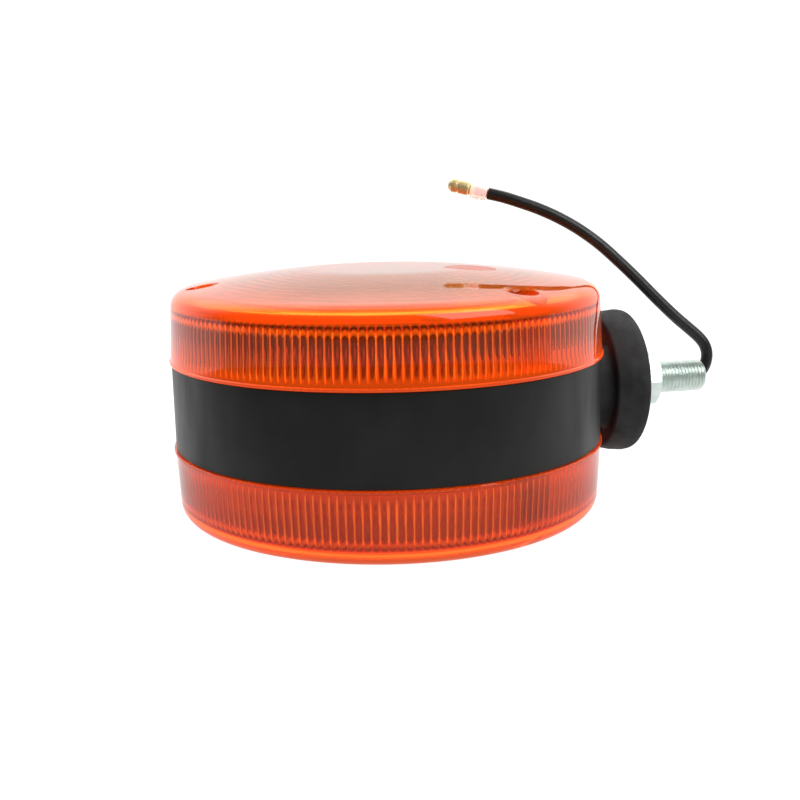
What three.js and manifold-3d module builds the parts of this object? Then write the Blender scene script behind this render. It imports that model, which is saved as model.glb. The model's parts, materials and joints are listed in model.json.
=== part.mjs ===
// Double-faced signal lamp: a round black housing with an orange-red lens on each side, held by
// one hollow threaded stud through a rubber pedestal. Millimetres, +Z up.
// The origin is on the stud's axis, in the plane of the pedestal's seat. +X runs out along the
// stud and Z is the optical axis: the lamp lies on its lower lens.
import * as THREE from 'three';
import { mergeVertices } from 'three/addons/utils/BufferGeometryUtils.js';
import Module from 'manifold-3d';

const wasm = await Module();
wasm.setup();

// ---- Driving dimensions ----------------------------------------------------------------------
const GAP = 0.3;                       // clearance between neighbouring pieces
const LAMP_AXIS_X = -71.7;             // the lenses' axis, from the pedestal's seat plane
const SEAM_Z = 11.8;                   // the lens's lower edge, above the lamp's middle plane

const BAND_RADIUS = 59.7;              // the black housing band
const BAND_WALL = 2.5;
const LEDGE_Z = 10.0;                  // the ledge that carries a gasket
const SPIGOT_INNER_RADIUS = 54.9;      // the raised lip that centres a lens
const SPIGOT_TOP_Z = 12.8;
const SPIGOT_ROOT_Z = 8.0;
const GASKET_INNER_RADIUS = 57.5;
const GASKET_OUTER_RADIUS = 59.5;

const LENS_LIP_RADIUS = 60.3;
const LENS_LIP_HEIGHT = 0.8;
const SKIRT_FOOT_RADIUS = 59.9;        // the skirt above its lip
const LENS_WALL = 2.3;
const EDGE_RADIUS = 4.4;               // rounding between skirt and face
const EDGE_CENTRE_RADIUS = 54.8;       // where that rounding is centred
const EDGE_CENTRE_Z = 26.85;
const EDGE_START = 2.9;                // degrees, where the drafted skirt meets the rounding
const DOME_RADIUS = 300.6;             // the face is a shallow dome
const DOME_APEX_Z = 36.46;
const DOME_EDGE_SLOPE = 10.66;         // degrees, where the dome meets the rounding
const FACE_FLAT_RADIUS = 22;           // the flat in the middle of the face

const SCREW_CIRCLE_RADIUS = 51.0;
const SCREW_ANGLES = [60, 180, 300];   // degrees round the lamp from the stud
const RECESS_RADIUS = 3.95;
const RECESS_FLOOR_Z = 18.0;
const POST_RADIUS = 5.2;
const POST_FOOT_Z = SEAM_Z;
const SCREW_SHANK_RADIUS = 1.9;
const SCREW_HEAD_RADIUS = 3.4;
const SCREW_HEAD_HEIGHT = 2.4;
const SCREW_TIP_Z = 3.0;
const BOSS_RADIUS = 5.0;
const BOSS_WEB_THICKNESS = 3.0;         // joins a boss to the band
const BOSS_TOP_Z = 11.4;
const BOSS_HOLE_FLOOR_Z = 1.5;

const STUD_RADIUS = 4.7625;            // 3/8 inch
const STUD_BORE_RADIUS = 3.175;        // 1/4 inch
const STUD_MOUTH_CHAMFER = 0.8;
const STUD_END_X = 24.8;
const STUD_HEAD_THICKNESS = 4.5;
const HEX_ACROSS_FLATS = 14.29;        // 9/16 inch, nut and stud head alike
const NUT_THICKNESS = 8.0;
const WASHER_RADIUS = 10.0;
const WASHER_THICKNESS = 1.6;
const CLEARANCE_HOLE_RADIUS = 5.1;     // every hole that the stud passes through

const FLANGE_RADIUS = 20.9;            // the pedestal's flange at its widest
const FLANGE_BACK_RADIUS = 19.6;
const FLANGE_THICKNESS = 9.8;
const FLANGE_EDGE_RADIUS = 1.9;
const SEAT_RECESS_RADIUS = 12;
const SEAT_RECESS_DEPTH = 0.8;
const NECK_RADIUS = 16.5;
const NECK_HALF_HEIGHT = 11.5;

const PAD_FACE_X = -19.7;              // the flat inside the housing that the bracket lies on
const PAD_HALF_WIDTH = 13;
const SHEET_THICKNESS = 1.2;           // the bracket's strip
const BRACKET_HALF_WIDTH = 13.2;
const BRACKET_HALF_HEIGHT = 8;
const BRACKET_FRONT_X = -36.2;

const SOCKET_REAR_X = -31.0;
const SOCKET_MOUTH_X = -51.5;
const SOCKET_INNER_RADIUS = 7.9;
const SOCKET_OUTER_RADIUS = 8.6;
const SOCKET_LIP_RADIUS = 5.6;
const SOCKET_FLANGE_RADIUS = 10.4;
const PIN_RADIUS = 1.0;
const PIN_REACH = 8.9;                 // the bayonet pins' ends, from the axis
const PIN_X = -47.8;                   // the pins in their locked seats
const BAYONET_PUSH = 2.0;              // how far the bulb is pushed in
const BAYONET_TURN = 25;               // degrees that it turns as it is pushed

const CARRIER_X = -39.4;               // the sliding contact disc's outer face
const CARRIER_THICKNESS = 1.2;
const CARRIER_RADIUS = 7.4;
const SPRING_RADIUS = 6.6;
const SPRING_WIRE_RADIUS = 0.45;
const SPRING_TURNS = 3;

const BULB_END_X = -40.6;              // the bulb's contact tip
const CAP_RADIUS = 7.5;
const CAP_WALL = 0.5;
const CAP_LENGTH = 16.4;
const BULB_LENGTH = 52;
const GLASS_RADIUS = 13.2;
const GLASS_NECK_RADIUS = 6.6;
const GLASS_WALL = 0.8;
const FILAMENT_X = PIN_X - 31.8;

const LEAD_RADIUS = 1.75;
const LEAD_Z = -1.1;                   // the lead lies low in the stud's bore
const LEAD_START_X = 16.9;             // the free lead begins inside the bore
const CORE_RADIUS = 1.2;
const SLEEVE_RADIUS = 2.6;
const SLEEVE_WALL = 0.45;
const SLEEVE_LENGTH = 5.0;
const BULLET_RADIUS = 1.95;
const BULLET_REACH = 12.2;             // the bullet's tip, from the end of the black lead

const RING_SIDES = 48;
const ROUND_SIDES = 28;
const SMALL_SIDES = 16;
const LEAD_SIDES = 8;

// The free lead's centre line: out of the stud's mouth, up in one tight bend and back over the lamp.
const LEAD_ROUTE = [
  [LEAD_START_X, 0, LEAD_Z],
  [18.5, 0, LEAD_Z],
  [20.2, 0, LEAD_Z],
  [22.6, 0, -0.7],
  [24.7, 0.05, 0.55],
  [26.25, 0.2, 2.4],
  [27.05, 0.4, 4.6],
  [27.15, 0.75, 6.9],
  [26.4, 1.2, 9.2],
  [24.8, 1.8, 11.3],
  [22.0, 2.6, 13.9],
  [18.2, 3.7, 17.3],
  [12.5, 5.4, 23.0],
  [7.3, 7.0, 28.5],
  [2.0, 8.8, 33.9],
  [-3.7, 10.7, 39.3],
  [-9.4, 12.6, 43.7],
  [-15.1, 14.4, 47.2],
  [-20.8, 16.3, 50.0],
  [-26.5, 18.2, 52.2],
  [-31.2, 19.9, 53.8],
  [-35.4, 21.5, 54.9],
];

// ---- Looks -----------------------------------------------------------------------------------
const LOOKS = {
  lens: { color: 0xd93a12, roughness: 0.12, metalness: 0, transparent: true, opacity: 0.75 },
  blackPlastic: { color: 0x26292a, roughness: 0.45, metalness: 0 },
  rubber: { color: 0x1d1e1e, roughness: 0.8, metalness: 0 },
  zinc: { color: 0xc9cdcb, roughness: 0.35, metalness: 1 },
  brass: { color: 0xc9a860, roughness: 0.3, metalness: 1 },
  spring: { color: 0x8d9094, roughness: 0.35, metalness: 1 },
  fibre: { color: 0x6b3a22, roughness: 0.8, metalness: 0 },
  vitrite: { color: 0x0d0d10, roughness: 0.15, metalness: 0 },
  glass: { color: 0xf2f5f5, roughness: 0.03, metalness: 0, transparent: true, opacity: 0.3 },
  tungsten: { color: 0x55575c, roughness: 0.4, metalness: 1 },
  leadBlack: { color: 0x202222, roughness: 0.5, metalness: 0 },
  leadRed: { color: 0xb8322c, roughness: 0.5, metalness: 0 },
  clearSleeve: { color: 0xf1e3dc, roughness: 0.25, metalness: 0, transparent: true, opacity: 0.5 },
};

function look(name) {
  return new THREE.MeshStandardMaterial(LOOKS[name]);
}

// ---- Solids ----------------------------------------------------------------------------------
const radians = THREE.MathUtils.degToRad;

// A closed three.js geometry as a manifold solid, its faces turned outwards.
function solid(geometry) {
  const bare = geometry.clone();
  for (const attribute of Object.keys(bare.attributes)) {
    if (attribute !== 'position') bare.deleteAttribute(attribute);
  }
  const merged = mergeVertices(bare);
  const place = merged.attributes.position;
  const index = merged.index.array;
  const corner = [new THREE.Vector3(), new THREE.Vector3(), new THREE.Vector3()];
  const triangles = [];
  let volume = 0;
  for (let i = 0; i < index.length; i += 3) {
    const [a, b, c] = [index[i], index[i + 1], index[i + 2]];
    if (a === b || b === c || c === a) continue;
    [a, b, c].forEach((vertex, k) => corner[k].fromBufferAttribute(place, vertex));
    volume += corner[0].dot(corner[1].cross(corner[2]));
    triangles.push([a, b, c]);
  }
  const outward = volume > 0 ? triangles : triangles.map(([a, b, c]) => [a, c, b]);
  return new wasm.Manifold(new wasm.Mesh({
    numProp: 3,
    vertProperties: new Float32Array(place.array),
    triVerts: new Uint32Array(outward.flat()),
  }));
}

function part(name, shape, lookName) {
  const data = shape.getMesh();
  const geometry = new THREE.BufferGeometry();
  geometry.setAttribute('position', new THREE.BufferAttribute(data.vertProperties, 3));
  geometry.setIndex(new THREE.BufferAttribute(data.triVerts, 1));
  geometry.computeVertexNormals();
  const mesh = new THREE.Mesh(geometry, look(lookName));
  mesh.name = name;
  return mesh;
}

// A profile of [distance along the axis, radius] turned round the X axis or the Z axis.
// A profile that doesn't start and end on the axis closes on itself.
function turned(profile, axis = 'x', sides = ROUND_SIDES) {
  const points = profile.map(([along, radius]) => new THREE.Vector2(radius, along));
  const onAxis = profile[0][1] === 0 && profile.at(-1)[1] === 0;
  if (!onAxis) points.push(points[0].clone());
  const geometry = new THREE.LatheGeometry(points, sides);
  if (axis === 'x') geometry.rotateZ(-Math.PI / 2);
  else geometry.rotateX(Math.PI / 2);
  return solid(geometry);
}

function rod(radius, from, to, axis = 'x', sides = ROUND_SIDES) {
  return turned([[from, 0], [from, radius], [to, radius], [to, 0]], axis, sides);
}

function tube(inner, outer, from, to, axis = 'x', sides = ROUND_SIDES) {
  return turned([[from, inner], [from, outer], [to, outer], [to, inner]], axis, sides);
}

function block([x0, x1], [y0, y1], [z0, z1]) {
  const geometry = new THREE.BoxGeometry(x1 - x0, y1 - y0, z1 - z0);
  geometry.translate((x0 + x1) / 2, (y0 + y1) / 2, (z0 + z1) / 2);
  return solid(geometry);
}

// A hexagon bar along X with a corner towards -Y and its ends chamfered.
function hexagon(from, to) {
  const cornerRadius = HEX_ACROSS_FLATS / Math.sqrt(3);
  const bar = rod(cornerRadius, from, to, 'x', 6).rotate([30, 0, 0]);
  const chamfer = 0.6;
  const endRadius = HEX_ACROSS_FLATS / 2 - 0.1;
  const turnedBlank = turned([
    [from, 0], [from, endRadius], [from + chamfer, cornerRadius],
    [to - chamfer, cornerRadius], [to, endRadius], [to, 0],
  ]);
  return bar.intersect(turnedBlank);
}

function wire(points, radius, steps, sides = LEAD_SIDES) {
  const path = new THREE.CatmullRomCurve3(points.map((point) => new THREE.Vector3(...point)));
  const section = new THREE.Shape();
  section.absarc(0, 0, radius, 0, 2 * Math.PI);
  return solid(new THREE.ExtrudeGeometry(section, {
    steps,
    extrudePath: path,
    bevelEnabled: false,
    curveSegments: sides / 2,
  }));
}

function atScrew(angle, radius = SCREW_CIRCLE_RADIUS) {
  return [radius * Math.cos(radians(angle)), radius * Math.sin(radians(angle)), 0];
}

// ---- Housing ---------------------------------------------------------------------------------
function housingRing() {
  const inner = BAND_RADIUS - BAND_WALL;
  let ring = turned([
    [-SPIGOT_TOP_Z, SPIGOT_INNER_RADIUS], [-SPIGOT_TOP_Z, inner],
    [-LEDGE_Z, inner], [-LEDGE_Z, BAND_RADIUS],
    [LEDGE_Z, BAND_RADIUS], [LEDGE_Z, inner],
    [SPIGOT_TOP_Z, inner], [SPIGOT_TOP_Z, SPIGOT_INNER_RADIUS],
    [SPIGOT_ROOT_Z, SPIGOT_INNER_RADIUS], [SPIGOT_ROOT_Z, inner],
    [-SPIGOT_ROOT_Z, inner], [-SPIGOT_ROOT_Z, SPIGOT_INNER_RADIUS],
  ], 'z', RING_SIDES);
  const core = rod(inner + 0.1, -BOSS_TOP_Z, BOSS_TOP_Z, 'z', RING_SIDES);
  for (const angle of SCREW_ANGLES) {
    const boss = rod(BOSS_RADIUS, -BOSS_TOP_Z, BOSS_TOP_Z, 'z', SMALL_SIDES);
    const webHalf = BOSS_WEB_THICKNESS / 2;
    const web = block([SCREW_CIRCLE_RADIUS, inner + 0.1], [-webHalf, webHalf], [-BOSS_TOP_Z, BOSS_TOP_Z]);
    ring = ring.add(boss.translate(atScrew(angle)).intersect(core)).add(web.rotate([0, 0, angle]));
  }
  const padFace = PAD_FACE_X - LAMP_AXIS_X;
  ring = ring.add(block([padFace, inner + 0.5], [-PAD_HALF_WIDTH, PAD_HALF_WIDTH], [-LEDGE_Z, LEDGE_Z]));
  const holeRadius = SCREW_SHANK_RADIUS + GAP;
  const postSeatRadius = POST_RADIUS + GAP;
  for (const angle of SCREW_ANGLES) {
    const place = atScrew(angle);
    for (const side of [-1, 1]) {
      const above = side * (SPIGOT_TOP_Z + 1);
      const hole = rod(holeRadius, side * BOSS_HOLE_FLOOR_Z, above, 'z', SMALL_SIDES);
      const postSeat = rod(postSeatRadius, side * BOSS_TOP_Z, above, 'z', SMALL_SIDES);
      ring = ring.subtract(hole.translate(place)).subtract(postSeat.translate(place));
    }
  }
  ring = ring.subtract(rod(CLEARANCE_HOLE_RADIUS, padFace - 1, BAND_RADIUS + 1));
  const mesh = part('housing_ring', ring, 'blackPlastic');
  mesh.position.x = LAMP_AXIS_X;
  return mesh;
}

// ---- Lens, its gasket and its three screws ---------------------------------------------------
// The outside of a lens from the axis to its lower edge, inset by a wall thickness.
function lensOutline(inset, footZ) {
  const domeCentreZ = DOME_APEX_Z - DOME_RADIUS;
  const domeRadius = DOME_RADIUS - inset;
  const flatSlope = Math.asin(FACE_FLAT_RADIUS / domeRadius);
  const edgeSlope = radians(DOME_EDGE_SLOPE);
  const outline = [[domeCentreZ + domeRadius * Math.cos(flatSlope), 0]];
  const domeSteps = 3;
  for (let i = 0; i <= domeSteps; i++) {
    const slope = THREE.MathUtils.lerp(flatSlope, edgeSlope, i / domeSteps);
    outline.push([domeCentreZ + domeRadius * Math.cos(slope), domeRadius * Math.sin(slope)]);
  }
  const edgeSteps = 3;
  const rounding = EDGE_RADIUS - inset;
  for (let i = 1; i <= edgeSteps; i++) {
    const turn = radians(THREE.MathUtils.lerp(90 - DOME_EDGE_SLOPE, EDGE_START, i / edgeSteps));
    outline.push([
      EDGE_CENTRE_Z + rounding * Math.sin(turn),
      EDGE_CENTRE_RADIUS + rounding * Math.cos(turn),
    ]);
  }
  outline.push([footZ, SKIRT_FOOT_RADIUS - inset]);
  return outline;
}

function lensShell() {
  const lipTop = SEAM_Z + LENS_LIP_HEIGHT;
  const outside = turned([
    ...lensOutline(0, lipTop + 0.4),
    [lipTop, LENS_LIP_RADIUS], [SEAM_Z, LENS_LIP_RADIUS], [SEAM_Z, 0],
  ], 'z', RING_SIDES);
  const below = SEAM_Z - 1;
  const inside = turned([...lensOutline(LENS_WALL, below), [below, 0]], 'z', RING_SIDES);
  let shell = outside.subtract(inside);
  for (const angle of SCREW_ANGLES) {
    const place = atScrew(angle);
    const above = DOME_APEX_Z + 1;
    const post = rod(POST_RADIUS, POST_FOOT_Z, above, 'z', SMALL_SIDES).translate(place);
    const recess = rod(RECESS_RADIUS, RECESS_FLOOR_Z, above, 'z', SMALL_SIDES).translate(place);
    const hole = rod(SCREW_SHANK_RADIUS + GAP, POST_FOOT_Z - 1, above, 'z', SMALL_SIDES).translate(place);
    shell = shell.add(post.intersect(outside)).subtract(recess).subtract(hole);
  }
  return shell;
}

function lensScrew() {
  const headFoot = RECESS_FLOOR_Z + GAP;
  const headTop = headFoot + SCREW_HEAD_HEIGHT;
  const blank = turned([
    [SCREW_TIP_Z, 0], [SCREW_TIP_Z + 2, SCREW_SHANK_RADIUS], [headFoot, SCREW_SHANK_RADIUS],
    [headFoot, SCREW_HEAD_RADIUS], [headTop - 0.8, SCREW_HEAD_RADIUS], [headTop, 2.2], [headTop, 0],
  ], 'z', SMALL_SIDES);
  const slotDepth = [headTop - 1.2, headTop + 1];
  const long = [-1.9, 1.9];
  const narrow = [-0.45, 0.45];
  return blank.subtract(block(long, narrow, slotDepth)).subtract(block(narrow, long, slotDepth));
}

function lensSet(side) {
  const set = new THREE.Group();
  set.add(part(`${side}_lens`, lensShell(), 'lens'));
  const gasketEnds = [LEDGE_Z + GAP, SEAM_Z - GAP];
  const gasket = tube(GASKET_INNER_RADIUS, GASKET_OUTER_RADIUS, ...gasketEnds, 'z', RING_SIDES);
  set.add(part(`${side}_gasket`, gasket, 'rubber'));
  SCREW_ANGLES.forEach((angle, i) => {
    const screw = part(`${side}_lens_screw_${i + 1}`, lensScrew(), 'zinc');
    screw.position.set(...atScrew(angle));
    set.add(screw);
  });
  set.position.x = LAMP_AXIS_X;
  return set;
}

// ---- Pedestal, stud, washer and nut ----------------------------------------------------------
function pedestal() {
  const back = -FLANGE_THICKNESS;
  const insideLamp = LAMP_AXIS_X + BAND_RADIUS - 6;
  const outline = [
    [insideLamp, CLEARANCE_HOLE_RADIUS], [insideLamp, NECK_RADIUS], [back - 0.5, NECK_RADIUS],
    [back, NECK_RADIUS + 0.5], [back, FLANGE_BACK_RADIUS - 0.6], [back + 0.6, FLANGE_BACK_RADIUS],
    [back / 2, FLANGE_RADIUS - 0.35],
  ];
  const edgeSteps = 4;
  for (let i = 0; i <= edgeSteps; i++) {
    const turn = radians(90 * (i / edgeSteps));
    outline.push([
      -FLANGE_EDGE_RADIUS * (1 - Math.sin(turn)),
      FLANGE_RADIUS - FLANGE_EDGE_RADIUS * (1 - Math.cos(turn)),
    ]);
  }
  outline.push([0, SEAT_RECESS_RADIUS], [-SEAT_RECESS_DEPTH, SEAT_RECESS_RADIUS]);
  outline.push([-SEAT_RECESS_DEPTH, CLEARANCE_HOLE_RADIUS]);
  const housing = rod(BAND_RADIUS + GAP, -FLANGE_RADIUS, FLANGE_RADIUS, 'z', RING_SIDES);
  let body = turned(outline, 'x', 32).subtract(housing.translate([LAMP_AXIS_X, 0, 0]));
  for (const side of [-1, 1]) {
    const beyond = [side * NECK_HALF_HEIGHT, side * (FLANGE_RADIUS + 1)].sort((a, b) => a - b);
    body = body.subtract(block([insideLamp - 1, back], [-FLANGE_RADIUS, FLANGE_RADIUS], beyond));
  }
  return part('pedestal', body, 'rubber');
}

function mountingStud() {
  const headFoot = PAD_FACE_X - SHEET_THICKNESS - 2 * GAP;
  const shank = turned([
    [headFoot - 1, 0], [headFoot - 1, STUD_RADIUS], [STUD_END_X - 0.8, STUD_RADIUS],
    [STUD_END_X, STUD_RADIUS - 0.6], [STUD_END_X, 0],
  ]);
  const head = hexagon(headFoot - STUD_HEAD_THICKNESS, headFoot);
  const beyond = STUD_END_X + 1;
  const bore = rod(STUD_BORE_RADIUS, headFoot - STUD_HEAD_THICKNESS - 1, beyond);
  const mouth = turned([
    [STUD_END_X - STUD_MOUTH_CHAMFER, 0], [STUD_END_X - STUD_MOUTH_CHAMFER, STUD_BORE_RADIUS],
    [beyond, STUD_BORE_RADIUS + STUD_MOUTH_CHAMFER + 1], [beyond, 0],
  ]);
  return part('mounting_stud', head.add(shank).subtract(bore).subtract(mouth), 'zinc');
}

function plainWasher() {
  const from = -SEAT_RECESS_DEPTH + GAP;
  const to = from + WASHER_THICKNESS;
  return part('plain_washer', tube(CLEARANCE_HOLE_RADIUS, WASHER_RADIUS, from, to), 'zinc');
}

function mountingNut() {
  const from = -SEAT_RECESS_DEPTH + WASHER_THICKNESS + 2 * GAP;
  const to = from + NUT_THICKNESS;
  const bore = rod(STUD_RADIUS + GAP, from - 1, to + 1);
  return part('mounting_nut', hexagon(from, to).subtract(bore), 'zinc');
}

// ---- Bulb holder -----------------------------------------------------------------------------
function socketBracket() {
  const rear = PAD_FACE_X - GAP;
  const height = [-BRACKET_HALF_HEIGHT, BRACKET_HALF_HEIGHT];
  const innerHalf = BRACKET_HALF_WIDTH - SHEET_THICKNESS;
  const loop = block([BRACKET_FRONT_X, rear], [-BRACKET_HALF_WIDTH, BRACKET_HALF_WIDTH], height);
  const window = block(
    [BRACKET_FRONT_X + SHEET_THICKNESS, rear - SHEET_THICKNESS],
    [-innerHalf, innerHalf],
    [-BRACKET_HALF_HEIGHT - 1, BRACKET_HALF_HEIGHT + 1],
  );
  const studHole = rod(CLEARANCE_HOLE_RADIUS, rear - SHEET_THICKNESS - 1, rear + 1);
  const socketHoleRadius = SOCKET_OUTER_RADIUS + GAP;
  const frontStrip = [BRACKET_FRONT_X, BRACKET_FRONT_X + SHEET_THICKNESS];
  const socketHole = rod(socketHoleRadius, frontStrip[0] - 1, frontStrip[1] + 1);
  // The socket's hole is wider than the strip, so the strip bulges round it.
  const bulge = tube(socketHoleRadius, BRACKET_HALF_WIDTH - SHEET_THICKNESS / 2, ...frontStrip);
  const strip = loop.subtract(window).add(bulge).subtract(studHole).subtract(socketHole);
  return part('socket_bracket', strip, 'zinc');
}

// A pin's way through the socket's wall, at an angle round the axis.
function pinWay(x, angle, radius = PIN_RADIUS + GAP) {
  const drill = rod(radius, -PIN_REACH - 1, PIN_REACH + 1, 'z', SMALL_SIDES);
  return drill.rotate([90 + angle, 0, 0]).translate([x, 0, 0]);
}

function socketShell() {
  const lipThickness = 0.8;
  const flangeX = BRACKET_FRONT_X + SHEET_THICKNESS + GAP;
  let shell = turned([
    [SOCKET_MOUTH_X, SOCKET_INNER_RADIUS], [SOCKET_MOUTH_X, SOCKET_OUTER_RADIUS],
    [flangeX, SOCKET_OUTER_RADIUS], [flangeX, SOCKET_FLANGE_RADIUS],
    [flangeX + 1, SOCKET_FLANGE_RADIUS], [flangeX + 1, SOCKET_OUTER_RADIUS],
    [SOCKET_REAR_X, SOCKET_OUTER_RADIUS], [SOCKET_REAR_X, SOCKET_LIP_RADIUS],
    [SOCKET_REAR_X - lipThickness, SOCKET_LIP_RADIUS], [SOCKET_REAR_X - lipThickness, SOCKET_INNER_RADIUS],
  ]);
  const slopeSteps = 5;
  for (let i = 0; i <= slopeSteps; i++) {
    const share = i / slopeSteps;
    shell = shell.subtract(pinWay(PIN_X + BAYONET_PUSH * share, -BAYONET_TURN * share));
  }
  const entryHalfWidth = PIN_RADIUS + GAP;
  const reach = PIN_REACH + 1;
  const entryEnds = [SOCKET_MOUTH_X - 1, PIN_X + BAYONET_PUSH];
  const entry = block(entryEnds, [-reach, reach], [-entryHalfWidth, entryHalfWidth]);
  shell = shell.subtract(entry.rotate([-BAYONET_TURN, 0, 0]));
  return part('socket_shell', shell, 'zinc');
}

function contactSpring() {
  const from = CARRIER_X + CARRIER_THICKNESS + GAP + SPRING_WIRE_RADIUS;
  const to = SOCKET_REAR_X - 0.8 - GAP - SPRING_WIRE_RADIUS;
  const perTurn = 14;
  const coil = [];
  for (let i = 0; i <= SPRING_TURNS * perTurn; i++) {
    const turn = (2 * Math.PI * i) / perTurn;
    const x = THREE.MathUtils.lerp(from, to, i / (SPRING_TURNS * perTurn));
    coil.push([x, SPRING_RADIUS * Math.cos(turn), SPRING_RADIUS * Math.sin(turn)]);
  }
  return part('contact_spring', wire(coil, SPRING_WIRE_RADIUS, SPRING_TURNS * perTurn, 6), 'spring');
}

function contactCarrier() {
  const disc = tube(1.3, CARRIER_RADIUS, CARRIER_X, CARRIER_X + CARRIER_THICKNESS);
  return part('contact_carrier', disc, 'fibre');
}

function contactRivet() {
  const headX = CARRIER_X - GAP;
  const tailX = CARRIER_X + CARRIER_THICKNESS + GAP;
  return part('contact_rivet', turned([
    [headX - 0.6, 0], [headX - 0.6, 2.0], [headX, 2.4], [headX, 1.0],
    [tailX, 1.0], [tailX, 1.7], [tailX + 1.4, 1.7], [tailX + 1.4, 0],
  ], 'x', SMALL_SIDES), 'brass');
}

// The lead inside the lamp moves with the contact, so it stops short of the free lead.
function innerLead() {
  const from = CARRIER_X + CARRIER_THICKNESS + 1.4 + 2 * GAP;
  const to = LEAD_START_X - BAYONET_PUSH - GAP;
  return part('inner_lead', rod(LEAD_RADIUS, from, to, 'x', 12).translate([0, 0, LEAD_Z]), 'leadBlack');
}

// ---- Bulb ------------------------------------------------------------------------------------
function bulbCap() {
  const from = BULB_END_X - 1.1;
  let cap = tube(CAP_RADIUS - CAP_WALL, CAP_RADIUS, from - CAP_LENGTH, from);
  for (const side of [-1, 1]) {
    const ends = [side * (CAP_RADIUS - CAP_WALL / 2), side * PIN_REACH].sort((a, b) => a - b);
    const pin = rod(PIN_RADIUS, ...ends, 'z', 12).rotate([90, 0, 0]);
    cap = cap.add(pin.translate([PIN_X, 0, 0]));
  }
  return part('bulb_cap', cap, 'brass');
}

function bulbInsulator() {
  const from = BULB_END_X - 0.9;
  return part('bulb_insulator', rod(CAP_RADIUS - CAP_WALL - GAP, from - 2.2, from), 'vitrite');
}

function bulbContact() {
  const foot = BULB_END_X - 0.6;
  return part('bulb_contact', turned([
    [foot, 0], [foot, 2.4], [BULB_END_X - 0.2, 1.8], [BULB_END_X, 1.0], [BULB_END_X, 0],
  ], 'x', SMALL_SIDES), 'brass');
}

function bulbGlass() {
  const tipX = BULB_END_X - BULB_LENGTH;
  const neckX = BULB_END_X - 12;
  const ballX = tipX + GLASS_RADIUS;
  const shoulderX = neckX - 8;
  const steps = 5;
  const side = (wall) => {
    const outline = [[tipX + wall, 0]];
    for (let i = 1; i <= steps; i++) {
      const turn = radians(90 * (i / steps));
      const radius = GLASS_RADIUS - wall;
      outline.push([ballX - radius * Math.cos(turn), radius * Math.sin(turn)]);
    }
    for (let i = 1; i <= steps; i++) {
      const share = i / steps;
      const blend = (1 + Math.cos(Math.PI * share)) / 2;
      const radius = GLASS_NECK_RADIUS + (GLASS_RADIUS - GLASS_NECK_RADIUS) * blend;
      outline.push([THREE.MathUtils.lerp(ballX, shoulderX, share), radius - wall]);
    }
    outline.push([neckX, GLASS_NECK_RADIUS - wall]);
    return outline;
  };
  return part('bulb_glass', turned([...side(0), ...side(GLASS_WALL).reverse()], 'x', 20), 'glass');
}

// One wire: up a support, along the filament's bow and back down the other support.
function bulbFilament() {
  const footX = BULB_END_X - 5;
  const bow = 4.2;
  return part('bulb_filament', wire([
    [footX, 0, -2.2], [footX - 12, 0, -2.4], [FILAMENT_X + 4, 0, -bow], [FILAMENT_X + 0.4, 0, -bow],
    [FILAMENT_X, 0, -bow + 0.6], [FILAMENT_X - 0.9, 0, 0], [FILAMENT_X, 0, bow - 0.6],
    [FILAMENT_X + 0.4, 0, bow], [FILAMENT_X + 4, 0, bow], [footX - 12, 0, 2.4], [footX, 0, 2.2],
  ], 0.35, 40, 6), 'tungsten');
}

// ---- Free lead and its bullet terminal -------------------------------------------------------
function freeLead() {
  return part('lead_sleeve', wire(LEAD_ROUTE, LEAD_RADIUS, 34), 'leadBlack');
}

// Built along +X from the black lead's end, then turned to the lead's last direction.
function terminal() {
  const end = new THREE.Vector3(...LEAD_ROUTE.at(-1));
  const before = new THREE.Vector3(...LEAD_ROUTE.at(-2));
  const onward = end.clone().sub(before).normalize();
  const set = new THREE.Group();
  set.position.copy(end);
  set.quaternion.setFromUnitVectors(new THREE.Vector3(1, 0, 0), onward);
  const crimpX = 4.4;
  const barrelX = 6.2;
  const core = rod(CORE_RADIUS, GAP, crimpX - GAP, 'x', 12);
  set.add(part('lead_core', core, 'leadRed'));
  const sleeve = tube(SLEEVE_RADIUS - SLEEVE_WALL, SLEEVE_RADIUS, GAP, GAP + SLEEVE_LENGTH, 'x', 16);
  set.add(part('terminal_sleeve', sleeve, 'clearSleeve'));
  const grooveX = 9.3;
  const tipX = BULLET_REACH;
  const neckRadius = 1.6;
  set.add(part('bullet_terminal', turned([
    [crimpX, 0], [crimpX, neckRadius], [barrelX - 0.3, neckRadius], [barrelX, BULLET_RADIUS],
    [grooveX - 0.4, BULLET_RADIUS], [grooveX, neckRadius], [grooveX + 0.5, BULLET_RADIUS],
    [tipX - 1.2, BULLET_RADIUS], [tipX, 1.0], [tipX, 0],
  ], 'x', 16), 'brass'));
  return set;
}

// ---- The lamp --------------------------------------------------------------------------------
const lamp = new THREE.Group();
lamp.name = 'double_faced_signal_lamp';

const lowerSet = lensSet('lower');
lowerSet.rotation.x = Math.PI;

lamp.add(housingRing(), lensSet('upper'), lowerSet);
lamp.add(pedestal(), mountingStud(), plainWasher(), mountingNut());
lamp.add(socketBracket(), socketShell(), contactSpring(), contactCarrier(), contactRivet(), innerLead());
lamp.add(bulbCap(), bulbInsulator(), bulbContact(), bulbGlass(), bulbFilament());
lamp.add(freeLead(), terminal());

export default lamp;
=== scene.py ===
import json
import math

import bmesh
import bpy
from mathutils import Matrix, Quaternion, Vector

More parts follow.
